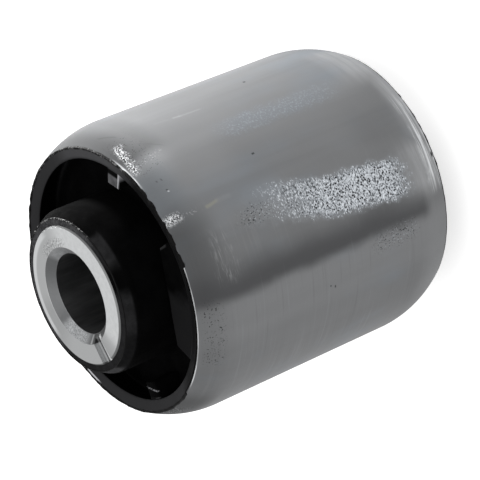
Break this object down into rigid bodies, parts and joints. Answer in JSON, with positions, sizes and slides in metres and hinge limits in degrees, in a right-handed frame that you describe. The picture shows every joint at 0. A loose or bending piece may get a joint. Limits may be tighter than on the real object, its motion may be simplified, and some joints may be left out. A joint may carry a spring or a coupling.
{
  "type": "cab mount",
  "caption": "Rubber-bonded bushing for a cab: steel outer sleeve with turned-in ends, grooved rubber body and a bored inner sleeve with a direction notch.",
  "frame": {"origin": "on the bore's axis, at the inner sleeve's lower face, which is the plane the mount stands on", "axes": "+Z along the bore, towards the notched face; -X from the bore towards the notch"},
  "size_m": [0.075, 0.075, 0.1],
  "materials": {
    "sleeve_steel": "satin bare steel, lightly pitted and scuffed",
    "rubber": "moulded black rubber, satin",
    "turned_metal": "turned faces, light grey and slightly grainy"
  },
  "bodies": {
    "root": {"outer_sleeve": "sleeve_steel", "rubber_body": "rubber", "inner_sleeve": "turned_metal"}
  },
  "joints": []
}
